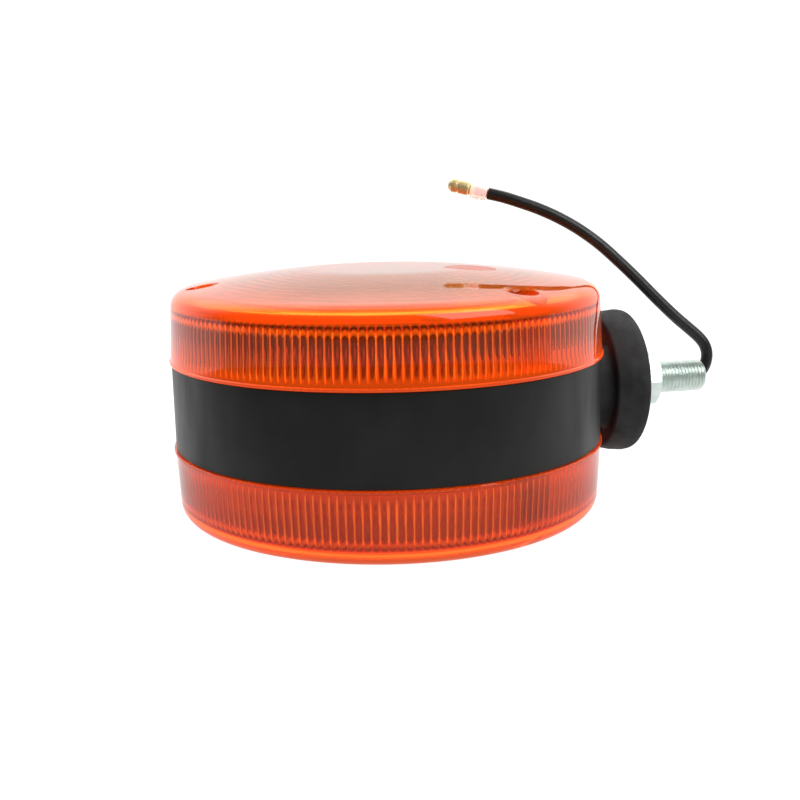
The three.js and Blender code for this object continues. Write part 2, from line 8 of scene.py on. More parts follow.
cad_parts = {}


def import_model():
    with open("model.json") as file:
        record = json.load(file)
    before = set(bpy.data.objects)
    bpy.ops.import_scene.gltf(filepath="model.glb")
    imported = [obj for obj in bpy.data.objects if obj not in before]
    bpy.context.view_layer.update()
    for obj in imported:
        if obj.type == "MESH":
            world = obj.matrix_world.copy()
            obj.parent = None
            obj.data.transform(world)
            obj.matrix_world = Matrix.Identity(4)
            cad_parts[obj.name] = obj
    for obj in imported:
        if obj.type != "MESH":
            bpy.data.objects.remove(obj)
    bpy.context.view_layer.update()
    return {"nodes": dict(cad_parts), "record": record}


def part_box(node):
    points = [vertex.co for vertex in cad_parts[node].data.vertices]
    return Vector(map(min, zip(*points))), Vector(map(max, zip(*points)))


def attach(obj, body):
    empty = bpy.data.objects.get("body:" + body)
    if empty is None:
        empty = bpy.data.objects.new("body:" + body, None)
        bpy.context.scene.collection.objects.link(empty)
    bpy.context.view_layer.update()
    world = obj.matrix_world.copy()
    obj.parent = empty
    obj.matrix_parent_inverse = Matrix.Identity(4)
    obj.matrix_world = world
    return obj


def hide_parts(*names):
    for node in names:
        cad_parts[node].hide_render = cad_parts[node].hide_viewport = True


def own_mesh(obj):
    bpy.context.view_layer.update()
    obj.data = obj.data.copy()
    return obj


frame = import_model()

MM = 0.001
GAP = 0.3


# ---- Driving dimensions ------------------------------------------------------------------------
def cad(node):
    """The lowest and highest corners of a CAD node, in millimetres."""
    low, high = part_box(node)
    return low / MM, high / MM


ring_low, ring_high = cad("housing_ring")
AXIS_X = (ring_low.x + ring_high.x) / 2
BAND_RADIUS = (ring_high.y - ring_low.y) / 2
FLOOR_Z = cad("lower_lens")[0].z
STUD_END_X = cad("mounting_stud")[1].x

SEAM_Z = 11.8
LIP_RADIUS = 60.3
LIP_TOP_Z = 12.6
FOOT_RADIUS = 59.9
FOOT_Z = 13.0
LENS_WALL = 2.3
EDGE_RADIUS = 4.4
EDGE_CENTRE_RADIUS = 54.8
EDGE_CENTRE_Z = 26.85
EDGE_START = math.radians(2.9)
DOME_EDGE_SLOPE = math.radians(10.66)
DOME_RADIUS = 300.6
DOME_APEX_Z = 36.46

FLUTES = 184
FLUTE_DEPTH = 0.6
FLUTE_VALLEY = 0.35
FLUTE_Z = (12.7, 26.8)
FLUTE_CAP = 2.2

RING_PITCH = 2.8
RING_DEPTH = 0.22
RING_REACH = (4.0, 51.6)

SCREW_ANGLES = (60, 180, 300)
SCREW_CIRCLE = 51.0
SCREW_TIP_Z = 3.0
SCREW_SHANK_RADIUS = 1.9
SCREW_HEAD_RADIUS = 3.4
SCREW_HEAD_HEIGHT = 2.4
SCREW_HOLE_RADIUS = 2.2
RECESS_RADIUS = 3.95
RECESS_FLOOR_Z = 18.0
POST_RADIUS = 5.2
POST_FOOT_Z = SEAM_Z

MARK_CENTRE = (-49.4, -8.0)

LEDGE_Z = 10.1
LEDGE_RADIUS = 59.25
SPIGOT_TOP_Z = 12.8
SPIGOT_ROOT_Z = 8.0
SPIGOT_RADIUS = BAND_RADIUS - 2.7
SPIGOT_INNER_RADIUS = 54.9
BOSS_RADIUS = 5
BOSS_TOP_Z = 11.4
BOSS_HOLE_FLOOR_Z = 1.5
BOSS_WEB_HALF = 1.5
PAST_HOUSING_Z = 16
PAD_FACE_X = -19.7
CLEARANCE_RADIUS = 5.1

FLANGE_BACK_X = -9.8
NECK_RADIUS = 16.5
NECK_HALF_HEIGHT = 11.5

STUD_RADIUS = 4.7625
STUD_BORE = 3.175
STUD_HEAD_FOOT_X = -21.5
THREAD_PITCH = 25.4 / 24
THREAD_DEPTH = 0.6
HEX_CORNER = 14.29 / math.sqrt(3)
NUT_X = (1.4, 9.4)

SOCKET_MOUTH_X = -51.5
SOCKET_REAR_X = -31.0
SOCKET_RADIUS = 8.6
SOCKET_INNER_RADIUS = 7.9
SOCKET_FLANGE_RADIUS = 10.4
PIN_X = -47.8
PIN_RADIUS = 1.0
BAYONET_PUSH = 2.0
BAYONET_TURN = 25
CARRIER_X = -39.4
CARRIER_THICKNESS = 1.2
SPRING_RADIUS = 6.6
SPRING_WIRE_RADIUS = 0.45
BULB_END_X = -40.6
BULB_TIP_X = -92.6
CAP_RADIUS = 7.5
CAP_LENGTH = 16.4
GLASS_RADIUS = 13.2
GLASS_NECK_RADIUS = 6.6
GLASS_WALL = 0.8

# The free lead's centre line.
LEAD_RADIUS = 1.75
LEAD_ROUTE = [
    (16.9, 0, -1.1), (18.5, 0, -1.1), (20.2, 0, -1.1), (22.6, 0, -0.7), (24.7, 0.05, 0.55),
    (26.25, 0.2, 2.4), (27.05, 0.4, 4.6), (27.15, 0.75, 6.9), (26.4, 1.2, 9.2), (24.8, 1.8, 11.3),
    (22.0, 2.6, 13.9), (18.2, 3.7, 17.3), (12.5, 5.4, 23.0), (7.3, 7.0, 28.5), (2.0, 8.8, 33.9),
    (-3.7, 10.7, 39.3), (-9.4, 12.6, 43.7), (-15.1, 14.4, 47.2), (-20.8, 16.3, 50.0),
    (-26.5, 18.2, 52.2), (-31.2, 19.9, 53.8), (-35.4, 21.5, 54.9),
]

CAMERA_PLACE = Vector((-131.5, -298.6, 59.6))
CAMERA_AIM = Vector((-68.3, -0.67, -2.17))
CAMERA_ROLL = math.radians(-1.049)


def at_screw(angle, side=1):
    """A lens screw's place, in the upper lens or (side -1) in the lower one."""
    turn = math.radians(angle)
    return (AXIS_X + SCREW_CIRCLE * math.cos(turn), side * SCREW_CIRCLE * math.sin(turn))


def placed(name, data):
    """A new object in the scene."""
    piece = bpy.data.objects.new(name, data)
    bpy.context.scene.collection.objects.link(piece)
    return piece


# ---- Camera ------------------------------------------------------------------------------------
camera = placed("camera", bpy.data.cameras.new("camera"))
camera.data.lens = 48.99
camera.data.sensor_width = 36
camera.data.clip_start = 0.01
camera.data.clip_end = 50
camera.rotation_mode = "QUATERNION"
camera.location = CAMERA_PLACE * MM
aim_turn = (CAMERA_AIM - CAMERA_PLACE).to_track_quat("-Z", "Y")
camera.rotation_quaternion = aim_turn @ Quaternion((0, 0, 1), CAMERA_ROLL)
bpy.context.scene.camera = camera


# ---- Materials ---------------------------------------------------------------------------------
class Graph:
    """Adds nodes to a node tree."""

    def __init__(self, tree):
        self.tree = tree

    def node(self, kind, **inputs):
        node = self.tree.nodes.new(kind)
        for socket, value in inputs.items():
            self.plug(value, node.inputs[socket.replace("_", " ")])
        return node

    def plug(self, value, socket):
        if isinstance(value, bpy.types.NodeSocket):
            self.tree.links.new(value, socket)
        else:
            socket.default_value = value

    def spread(self, value, low, high, start=0.3, end=0.7):
        """A texture's middle values spread over low to high."""
        numbers = {"From_Min": start, "From_Max": end, "To_Min": low, "To_Max": high}
        return self.node("ShaderNodeMapRange", Value=value, **numbers).outputs["Result"]

    def math(self, operation, *values):
        node = self.tree.nodes.new("ShaderNodeMath")
        node.operation = operation
        for value, socket in zip(values, node.inputs):
            self.plug(value, socket)
        return node.outputs["Value"]

    def compared(self, operation, vector, other):
        """One number from two vectors: their dot product, or how far apart they are."""
        node = self.node("ShaderNodeVectorMath", Vector=vector)
        node.operation = operation
        node.inputs[1].default_value = other
        return node.outputs["Value"]

    def step(self, value, start, end, low, high):
        """A smooth step from low to high as the value goes from start to end."""
        ramp = self.spread(value, low, high, start, end)
        ramp.node.interpolation_type = "SMOOTHSTEP"
        return ramp

    def between(self, value, fade_in, fade_out, most=1):
        """Up to most while the value is between two fades, each (start, end)."""
        rise = self.step(value, *fade_in, 0, most)
        return self.math("MULTIPLY", rise, self.step(value, *fade_out, 1, 0))

    def mixed(self, factor, one, other):
        mix = self.tree.nodes.new("ShaderNodeMix")
        mix.data_type = "RGBA"
        self.plug(factor, mix.inputs["Factor"])
        for colour, socket in ((one, "A"), (other, "B")):
            if not isinstance(colour, bpy.types.NodeSocket):
                colour = (*colour, 1)
            self.plug(colour, mix.inputs[socket])
        return mix.outputs["Result"]


class Look(Graph):
    """A Principled material whose colour, roughness and bump come from procedural textures."""

    def __init__(self, name, **sockets):
        self.material = bpy.data.materials.new(name)
        self.material.use_nodes = True
        super().__init__(self.material.node_tree)
        self.shader = self.tree.nodes["Principled BSDF"]
        self.place = self.node("ShaderNodeTexCoord").outputs["Object"]
        for socket, value in sockets.items():
            self.shader.inputs[socket.replace("_", " ")].default_value = value

    def stretched(self, scale):
        """Object coordinates scaled along each axis, per metre."""
        return self.node("ShaderNodeMapping", Vector=self.place, Scale=scale).outputs["Vector"]

    def noise(self, scale, detail=3.0, stretch=(1, 1, 1), roughness=0.55):
        inputs = {"Scale": scale, "Detail": detail, "Roughness": roughness}
        vector = self.stretched(stretch)
        return self.node("ShaderNodeTexNoise", Vector=vector, **inputs).outputs["Fac"]

    def colour(self, factor, dark, light):
        tone = self.mixed(self.spread(factor, 0, 1), dark, light)
        self.plug(tone, self.shader.inputs["Base Color"])
        return self

    def rough(self, factor, low, high):
        self.plug(self.spread(factor, low, high), self.shader.inputs["Roughness"])
        return self

    def bump(self, height, distance, strength=1.0):
        """Adds a relief of that depth in millimetres, over any relief already there."""
        node = self.node("ShaderNodeBump", Height=height, Distance=distance * MM, Strength=strength)
        earlier = self.shader.inputs["Normal"].links
        if earlier:
            self.plug(earlier[0].from_socket, node.inputs["Normal"])
        self.plug(node.outputs["Normal"], self.shader.inputs["Normal"])
        return self


# Heights in the lens wall, in metres above the lamp's middle plane, as (start, end) of each fade of the
# painted paler face, the painted glow and the painted scallop shade.
FACE_PAINTED_LIGHT = (0.0282, 0.0322)
FOOT_GLOW = (0.0140, 0.0156)
WEDGE_GLOW_RISE = (0.0140, 0.0215)
WEDGE_GLOW_END = (0.0246, 0.0254)
RIB_CAP_GLOW = ((0.0246, 0.0252), (0.0258, 0.0266))
RIB_SCALLOP_SHADE = ((0.0260, 0.0263), (0.0269, 0.0273))
ROUNDING_GLOW = ((0.0266, 0.0272), (0.0300, 0.0318))
RIB_CROWN = 0.0009


def lens_places(look):
    """Where a point is in the lens: its height, upper lens or lower, and its place on a rib."""
    axes = look.node("ShaderNodeSeparateXYZ", Vector=look.place).outputs
    height = look.math("ABSOLUTE", axes["Z"])
    upper = look.step(axes["Z"], -0.001, 0.001, 0, 1)
    turn = look.math("ARCTAN2", axes["Y"], look.math("SUBTRACT", axes["X"], AXIS_X * MM))
    phase = look.math("FRACT", look.math("MULTIPLY", turn, FLUTES / (2 * math.pi)))
    valley = look.math("ABSOLUTE", look.math("MULTIPLY_ADD", phase, 2, -1))
    crown = look.math("MULTIPLY_ADD", look.math("MULTIPLY", valley, valley), RIB_CROWN, height)
    return height, upper, valley, crown


def lens_spots(look):
    """Masks of the screw recesses, which are painted with shade, and of the round mark on the upper
    face.
    """
    flat = look.stretched((1, 1, 0))
    recess = 0
    for angle in SCREW_ANGLES:
        x, y = at_screw(angle)
        far = look.compared("DISTANCE", flat, (x * MM, y * MM, 0))
        recess = look.math("MAXIMUM", look.step(far, 0.0040, 0.0042, 1, 0), recess)
    x, y = MARK_CENTRE
    mark = look.step(look.compared("DISTANCE", flat, (x * MM, y * MM, 0)), 0.0070, 0.0076, 1, 0)
    z = look.node("ShaderNodeSeparateXYZ", Vector=look.place).outputs["Z"]
    return recess, look.math("MULTIPLY", mark, look.step(z, 0.030, 0.031, 0, 1))


def lens_look():
    """Orange-red moulding. Painted glow stands in for the light the wall carries: its foot, its rounded
    edge, the ribs' upper ends and the wedges between the ribs glow, and a painted shade darkens a
    scallop atop each rib. A blank round mark on the face is frosted."""
    look = Look("orange_lens", Transmission_Weight=0.82, IOR=1.49)
    height, upper, valley, crown = lens_places(look)
    recess, mark = lens_spots(look)
    cloud = look.spread(look.noise(35, 2), 0, 1)
    patchy = look.spread(look.noise(260, 2), 0.5, 1.1)
    half_below = look.math("MULTIPLY_ADD", upper, 0.5, 0.5)

    # Painted light: the face is painted paler and more orange than the skirt of the same plastic, for
    # the haze of reflected light on it.
    skirt = look.mixed(cloud, (0.66, 0.100, 0.008), (0.72, 0.125, 0.011))
    face = look.mixed(cloud, (0.76, 0.26, 0.032), (0.81, 0.31, 0.042))
    tone = look.mixed(look.step(height, *FACE_PAINTED_LIGHT, 0, 1), skirt, face)
    # Painted shade: a dark scallop atop each rib, weaker in the lower lens.
    scallop = look.between(crown, *RIB_SCALLOP_SHADE)
    scallop = look.math("MULTIPLY", scallop, look.step(valley, 0.55, 0.85, 1, 0))
    scallop = look.math("MULTIPLY", scallop, half_below)
    tone = look.mixed(look.math("MULTIPLY", scallop, patchy), tone, (0.12, 0.018, 0.008))
    # Painted shade: the screw recesses are darkened.
    tone = look.mixed(look.math("MULTIPLY", recess, 0.8), tone, (0.42, 0.025, 0.004))
    tone = look.mixed(look.math("MULTIPLY", mark, 0.9), tone, (0.62, 0.085, 0.008))
    look.plug(tone, look.shader.inputs["Base Color"])

    # Painted glow standing in for light carried in the wall: at the foot, in wedges between the ribs
    # (stronger in the upper lens), on the ribs' upper ends and along the rounded edge.
    foot = look.step(height, *FOOT_GLOW, 0.27, 0.02)
    wedge_top = look.spread(height, 0.30, 0.93, *WEDGE_GLOW_RISE)
    wedge = look.step(look.math("SUBTRACT", valley, wedge_top), -0.06, 0.08, 0, 0.26)
    wedge = look.math("MULTIPLY", wedge, look.step(height, *WEDGE_GLOW_END, 1, 0))
    lit = look.math("MULTIPLY_ADD", upper, 0.7, 0.3)
    low_glow = look.math("MULTIPLY", look.math("MAXIMUM", foot, wedge), lit)
    cap = look.between(crown, *RIB_CAP_GLOW, 0.42)
    cap = look.math("MULTIPLY", cap, look.math("MULTIPLY", patchy, half_below))
    edge = look.between(height, *ROUNDING_GLOW, 0.27)
    glow = look.math("ADD", low_glow, look.math("ADD", cap, edge))
    # The frosted mark gets a little painted glow too.
    glow = look.math("MULTIPLY_ADD", mark, 0.12, glow)
    look.plug(glow, look.shader.inputs["Emission Strength"])
    look.shader.inputs["Emission Color"].default_value = (1.0, 0.125, 0.003, 1)

    rough = look.spread(look.noise(220, 4), 0.015, 0.055)
    rough = look.math("MULTIPLY_ADD", mark, 0.2, rough)
    look.plug(rough, look.shader.inputs["Roughness"])
    look.bump(look.noise(90, 2), 0.03).bump(look.noise(900, 3), 0.002)
    look.bump(look.math("MULTIPLY", mark, look.noise(1400, 3)), 0.3)
    return look.material


def black_plastic_look():
    look = Look("black_plastic", Specular_IOR_Level=0.3)
    look.colour(look.noise(60, 5), (0.013, 0.014, 0.013), (0.024, 0.026, 0.025))
    look.rough(look.noise(150, 5, (1, 1, 0.25)), 0.34, 0.5)
    look.bump(look.noise(2600, 3), 0.012).bump(look.noise(45, 2), 0.05)
    return look.material


def rubber_look():
    look = Look("black_rubber", Specular_IOR_Level=0.4)
    look.colour(look.noise(120, 6), (0.017, 0.018, 0.018), (0.040, 0.042, 0.042))
    look.rough(look.noise(300, 5), 0.6, 0.85)
    look.bump(look.noise(1500, 4), 0.03).bump(look.noise(240, 3), 0.05)
    return look.material


def zinc_look():
    look = Look("zinc_plating", Metallic=1.0)
    look.colour(look.noise(260, 5), (0.76, 0.86, 0.80), (0.92, 1.0, 0.96))
    look.rough(look.noise(700, 5), 0.3, 0.5)
    look.bump(look.noise(1800, 4), 0.008)
    return look.material


def steel_look():
    look = Look("drawn_steel", Metallic=1.0)
    look.colour(look.noise(400, 4), (0.42, 0.44, 0.46), (0.62, 0.63, 0.65))
    look.rough(look.noise(900, 4), 0.25, 0.45)
    look.bump(look.noise(2500, 3), 0.01)
    return look.material


def brass_look():
    look = Look("brass", Metallic=0.6)
    look.colour(look.noise(300, 5), (0.88, 0.68, 0.28), (1.0, 0.88, 0.52))
    look.rough(look.noise(800, 4), 0.3, 0.5)
    look.bump(look.noise(1600, 4), 0.015)
    return look.material


def solder_look():
    look = Look("solder", Metallic=1.0)
    look.colour(look.noise(500, 4), (0.42, 0.43, 0.44), (0.68, 0.69, 0.70))
    look.rough(look.noise(900, 4), 0.35, 0.55)
    look.bump(look.noise(900, 3), 0.05)
    return look.material


def tungsten_look():
    look = Look("tungsten", Metallic=1.0)
    look.colour(look.noise(600, 4), (0.22, 0.22, 0.24), (0.40, 0.40, 0.42))
    look.rough(look.noise(900, 3), 0.35, 0.5)
    look.bump(look.noise(3000, 2), 0.01)
    return look.material


def fibre_look():
    look = Look("fibre_board")
    look.colour(look.noise(900, 6, (0.2, 1, 1)), (0.20, 0.075, 0.03), (0.40, 0.19, 0.09))
    look.rough(look.noise(500, 4), 0.7, 0.9)
    look.bump(look.noise(1800, 5), 0.04)
    return look.material


def vitrite_look():
    look = Look("vitrite", Coat_Weight=0.4)
    look.colour(look.noise(400, 3), (0.006, 0.006, 0.009), (0.018, 0.017, 0.024))
    look.rough(look.noise(600, 3), 0.08, 0.2)
    look.bump(look.noise(500, 2), 0.02)
    return look.material


def bulb_glass_look():
    look = Look("bulb_glass", Transmission_Weight=1.0, IOR=1.5)
    look.colour(look.noise(80, 2), (0.96, 0.975, 0.97), (0.99, 0.995, 0.99))
    look.rough(look.noise(200, 3), 0.0, 0.02)
    look.bump(look.noise(70, 2), 0.03)
    return look.material


def cable_look():
    look = Look("cable_sleeve", Specular_IOR_Level=0.6)
    look.colour(look.noise(200, 5), (0.010, 0.0105, 0.010), (0.020, 0.021, 0.020))
    look.rough(look.noise(500, 5), 0.28, 0.42)
    look.bump(look.noise(1400, 4), 0.02).bump(look.noise(160, 2), 0.06)
    return look.material


def core_look():
    look = Look("red_insulation")
    look.colour(look.noise(300, 4), (0.52, 0.04, 0.035), (0.70, 0.08, 0.06))
    look.rough(look.noise(500, 3), 0.3, 0.45)
    look.bump(look.noise(1200, 3), 0.02)
    return look.material


def clear_sleeve_look():
    """Milky vinyl with a little painted glow standing in for the light inside its wall."""
    look = Look("clear_sleeve", Transmission_Weight=0.6, IOR=1.45)
    look.colour(look.noise(250, 3), (0.98, 0.91, 0.87), (1.0, 0.97, 0.94))
    look.rough(look.noise(400, 4), 0.15, 0.3)
    look.bump(look.noise(500, 3), 0.02)
    # Painted glow.
    look.shader.inputs["Emission Color"].default_value = (1.0, 0.80, 0.72, 1)
    look.shader.inputs["Emission Strength"].default_value = 0.22
    return look.material


LOOKS = {
    "lens": lens_look(),
    "black_plastic": black_plastic_look(),
    "rubber": rubber_look(),
    "zinc": zinc_look(),
    "spring_steel": steel_look(),
    "fibre": fibre_look(),
    "brass": brass_look(),
    "solder": solder_look(),
    "vitrite": vitrite_look(),
    "bulb_glass": bulb_glass_look(),
    "tungsten": tungsten_look(),
    "lead_black": cable_look(),
    "lead_red": core_look(),
    "clear_sleeve": clear_sleeve_look(),
}


# ---- Mesh helpers ------------------------------------------------------------------------------
def made(name, mesh):
    """A new object from a bmesh, its faces turned outwards."""
    bmesh.ops.recalc_face_normals(mesh, faces=mesh.faces)
    data = bpy.data.meshes.new(name)
    mesh.to_mesh(data)
    mesh.free()
    return placed(name, data)


def loft(name, rings, closed=False):
    """A solid through rings of points. A ring may have a whole multiple of its neighbour's
    points, and a ring of one point closes an end."""
    mesh = bmesh.new()
    rows = [[mesh.verts.new(Vector(point) * MM) for point in ring] for ring in rings]
    pairs = list(zip(rows, rows[1:]))
    if closed:
        pairs.append((rows[-1], rows[0]))
    for one, other in pairs:
        few, many = (one, other) if len(one) <= len(other) else (other, one)
        if len(few) == 1:
            for i, vert in enumerate(many):
                mesh.faces.new((few[0], vert, many[(i + 1) % len(many)]))
            continue
        step = len(many) // len(few)
        for i, vert in enumerate(few):
            far_side = [many[(i * step + k) % len(many)] for k in range(step, -1, -1)]
            mesh.faces.new([vert, few[(i + 1) % len(few)], *far_side])
    return made(name, mesh)


def turns_of(count):
    return [2 * math.pi * i / count for i in range(count)]


def ring_x(x, radius, sides):
    """A circle round the X axis."""
    if radius == 0:
        return [(x, 0, 0)]
    return [(x, radius * math.cos(turn), radius * math.sin(turn)) for turn in turns_of(sides)]


def ring_z(z, radius, sides, centre=(0, 0)):
    """A circle round a line along Z."""
    if radius == 0:
        return [(*centre, z)]
    x, y = centre
    circle = turns_of(sides)
    return [(x + radius * math.cos(turn), y + radius * math.sin(turn), z) for turn in circle]


def rounded(corners, steps=5):
    """A profile of (along, radius) or (along, radius, fillet) with its fillets drawn as arcs."""
    points = []
    count = len(corners)
    for i, corner in enumerate(corners):
        here = Vector(corner[:2])
        fillet = corner[2] if len(corner) > 2 else 0
        before = Vector(corners[i - 1][:2]) - here
        after = Vector(corners[(i + 1) % count][:2]) - here
        if not fillet or before.length < 1e-6 or after.length < 1e-6:
            points.append(tuple(here))
            continue
        half = before.angle(after) / 2
        reach = min(fillet / math.tan(half), 0.49 * before.length, 0.49 * after.length)
        radius = reach * math.tan(half)
        before.normalize()
        after.normalize()
        centre = here + (before + after).normalized() * radius / math.sin(half)
        start = here + before * reach - centre
        end = here + after * reach - centre
        for k in range(steps + 1):
            arm = start.lerp(end, k / steps).normalized() * radius
            points.append(tuple(centre + arm))
    return points


def turned(name, corners, axis="x", sides=96, centre=(0, 0)):
    """A solid turned from a profile of (along, radius[, fillet])."""
    profile = rounded(corners)
    if axis == "x":
        rings = [ring_x(along, max(radius, 0), sides) for along, radius in profile]
    else:
        rings = [ring_z(along, max(radius, 0), sides, centre) for along, radius in profile]
    return loft(name, rings, closed=min(radius for along, radius in profile) > 0)


def block(name, x, y, z):
    """A box between two ends of each axis."""
    corners = ((y[0], z[0]), (y[1], z[0]), (y[1], z[1]), (y[0], z[1]))
    piece = loft(name, [[(end, *corner) for corner in corners] for end in x])
    mesh = bmesh.new()
    mesh.from_mesh(piece.data)
    bmesh.ops.holes_fill(mesh, edges=mesh.edges, sides=4)
    bmesh.ops.recalc_face_normals(mesh, faces=mesh.faces)
    mesh.to_mesh(piece.data)
    mesh.free()
    return piece


def combine(piece, tool, operation="DIFFERENCE"):
    """Joins, cuts or intersects piece with tool, and removes tool."""
    modifier = piece.modifiers.new("combine", "BOOLEAN")
    modifier.operation = operation
    modifier.solver = "MANIFOLD"
    modifier.object = tool
    settle(piece)
    bpy.data.objects.remove(tool)
    return piece


def settle(piece):
    """Applies the modifiers of a piece."""
    graph = bpy.context.evaluated_depsgraph_get()
    data = bpy.data.meshes.new_from_object(piece.evaluated_get(graph))
    piece.modifiers.clear()
    piece.data = data
    return piece


def bevel(piece, width, angle=30, segments=2):
    modifier = piece.modifiers.new("bevel", "BEVEL")
    modifier.width = width * MM
    modifier.segments = segments
    modifier.limit_method = "ANGLE"
    modifier.angle_limit = math.radians(angle)
    return settle(piece)


def dress(piece, slot, *nodes, body="lamp", sharp=32):
    """Gives a piece its look and its body, and hides the CAD nodes that it stands for."""
    piece.data.materials.clear()
    piece.data.materials.append(LOOKS[slot])
    if piece.type == "MESH":
        piece.data.polygons.foreach_set("use_smooth", [True] * len(piece.data.polygons))
        piece.data.set_sharp_from_angle(angle=math.radians(sharp))
    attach(piece, body)
    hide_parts(*nodes)
    return piece


# ---- The free lead and its terminal ------------------------------------------------------------
def free_lead():
    data = bpy.data.curves.new("free_lead", "CURVE")
    data.dimensions = "3D"
    data.bevel_depth = LEAD_RADIUS * MM
    data.bevel_resolution = 6
    data.resolution_u = 10
    data.use_fill_caps = True
    spline = data.splines.new("BEZIER")
    spline.bezier_points.add(len(LEAD_ROUTE) - 1)
    route = [Vector(point) * MM for point in LEAD_ROUTE]
    for i, knot in enumerate(spline.bezier_points):
        before = route[max(i - 1, 0)]
        after = route[min(i + 1, len(route) - 1)]
        knot.handle_left_type = "FREE"
        knot.handle_right_type = "FREE"
        knot.co = route[i]
        handle = (after - before).normalized()
        knot.handle_left = route[i] - handle * (route[i] - before).length / 3
        knot.handle_right = route[i] + handle * (after - route[i]).length / 3
    return dress(placed("free_lead", data), "lead_black", "lead_sleeve")


lead_end = Vector(LEAD_ROUTE[-1])
lead_heading = (lead_end - Vector(LEAD_ROUTE[-2])).normalized()


def at_lead_end(name, corners, sides=48):
    """A turned piece on the lead's end, its profile measured from the end of the black sleeve."""
    piece = turned(name, corners, sides=sides)
    turn = Vector((1, 0, 0)).rotation_difference(lead_heading).to_matrix().to_4x4()
    piece.data.transform(turn)
    for vert in piece.data.vertices:
        vert.co += lead_end * MM
    return piece


def terminal():
    """The core, the clear sleeve and the bullet, as (along the lead, radius[, fillet])."""
    core = at_lead_end("lead_core_wire", [
        (GAP - 0.4, 0), (GAP - 0.4, 1.25, 0.2), (4.1, 1.2, 0.2), (4.1, 0),
    ])
    sleeve = at_lead_end("clear_terminal_sleeve", [
        (0.3, 1.75, 0.15), (0.3, 2.1, 0.2), (1.6, 2.55, 1.5), (4.4, 2.6, 0.5), (5.3, 2.4, 0.2),
        (5.3, 2.0, 0.15),
    ])
    bullet = at_lead_end("brass_bullet", [
        (4.4, 0), (4.4, 1.6, 0.2), (5.9, 1.6, 0.2), (6.2, 1.95, 0.2), (8.9, 1.95, 0.3), (9.3, 1.6, 0.3),
        (9.8, 1.95, 0.4), (11.0, 1.95, 0.6), (12.2, 1.0, 0.3), (12.2, 0.75), (11.0, 0.7), (11.0, 0),
    ])
    return [
        dress(core, "lead_red", "lead_core"),
        dress(sleeve, "clear_sleeve", "terminal_sleeve"),
        dress(bullet, "brass", "bullet_terminal"),
    ]


lead = free_lead()
terminal()


# ---- Lens --------------------------------------------------------------------------------------
def soft_min(a, b, blend):
    overlap = max(blend - abs(a - b), 0) / blend
    return min(a, b) - overlap ** 2 * blend / 4


def dome_z(radius, inset):
    """The face: a shallow dome with the flat in its middle that the lamp rests on."""
    dome = DOME_APEX_Z - DOME_RADIUS + math.sqrt((DOME_RADIUS - inset) ** 2 - radius ** 2)
    return soft_min(dome, -FLOOR_Z - inset, 0.3)


def ring_relief(radius):
    """The rounded rings moulded inside the face, as a depth at a distance from its middle."""
    low, high = RING_REACH
    if not low < radius < high:
        return 0
    across = 2 * ((radius - low) / RING_PITCH % 1) - 1
    return RING_DEPTH * (1 - across ** 2)


def face_outline(inset, relief=False):
    """(z, radius) from the axis over the dome and the rounded edge, down to the skirt's top."""
    dome_end = (DOME_RADIUS - inset) * math.sin(DOME_EDGE_SLOPE)
    low, high = RING_REACH
    rings = round((high - low) / RING_PITCH)
    per_ring = 6
    radii = [0, 2] + [low + RING_PITCH * i / per_ring for i in range(rings * per_ring + 1)]
    radii += [high + (dome_end - high) * share for share in (0.3, 0.6, 1)]
    outline = []
    for radius in radii:
        depth = ring_relief(radius) if relief else 0
        outline.append((dome_z(radius, inset) - depth, radius))
    rounding = EDGE_RADIUS - inset
    turns = 9
    for i in range(1, turns + 1):
        turn = (math.pi / 2 - DOME_EDGE_SLOPE) * (1 - i / turns) + EDGE_START * i / turns
        z = EDGE_CENTRE_Z + rounding * math.sin(turn)
        outline.append((z, EDGE_CENTRE_RADIUS + rounding * math.cos(turn)))
    return outline


def flute_ring(z, base, height):
    """One ring of the ribbed inside of the skirt: rounded ribs with sharp valleys between."""
    per_flute = 8
    points = []
    for i in range(FLUTES * per_flute):
        across = 2 * (i % per_flute) / per_flute - 1
        radius = base + height * (FLUTE_VALLEY - FLUTE_DEPTH * (1 - across ** 2))
        turn = 2 * math.pi * i / (FLUTES * per_flute)
        points.append((radius * math.cos(turn), radius * math.sin(turn), z))
    return points


def lens_rings():
    sides = 2 * FLUTES
    rings = [ring_z(z, radius, sides) for z, radius in face_outline(0)]
    edge = [
        (FOOT_Z + 7, FOOT_RADIUS - 0.36), (FOOT_Z + 0.15, FOOT_RADIUS),
        (LIP_TOP_Z + 0.1, FOOT_RADIUS + 0.12), (LIP_TOP_Z, LIP_RADIUS - 0.15),
        (LIP_TOP_Z - 0.15, LIP_RADIUS), (SEAM_Z + 0.15, LIP_RADIUS), (SEAM_Z, LIP_RADIUS - 0.15),
    ]
    rings += [ring_z(z, radius, sides) for z, radius in edge]
    top_radius = EDGE_CENTRE_RADIUS + (EDGE_RADIUS - LENS_WALL) * math.cos(EDGE_START)
    top_z = EDGE_CENTRE_Z + (EDGE_RADIUS - LENS_WALL) * math.sin(EDGE_START)
    foot_radius = FOOT_RADIUS - LENS_WALL

    def inner_radius(z):
        return foot_radius + (top_radius - foot_radius) * (z - SEAM_Z) / (top_z - SEAM_Z)

    rings.append(ring_z(SEAM_Z, inner_radius(SEAM_Z), sides))
    low, high = FLUTE_Z
    caps = [0, 0.12, 0.3, 0.6, 1]
    rows = [(low + FLUTE_CAP * share, share) for share in caps]
    rows += [(low + (high - low) * share, 1) for share in (0.35, 0.65)]
    rows += [(high - FLUTE_CAP * share, share) for share in reversed(caps)]
    for z, share in rows:
        rings.append(flute_ring(z, inner_radius(z), math.sqrt(1 - (1 - share) ** 2)))
    inside = reversed(face_outline(LENS_WALL, relief=True))
    rings += [ring_z(z, radius, sides) for z, radius in inside]
    return rings


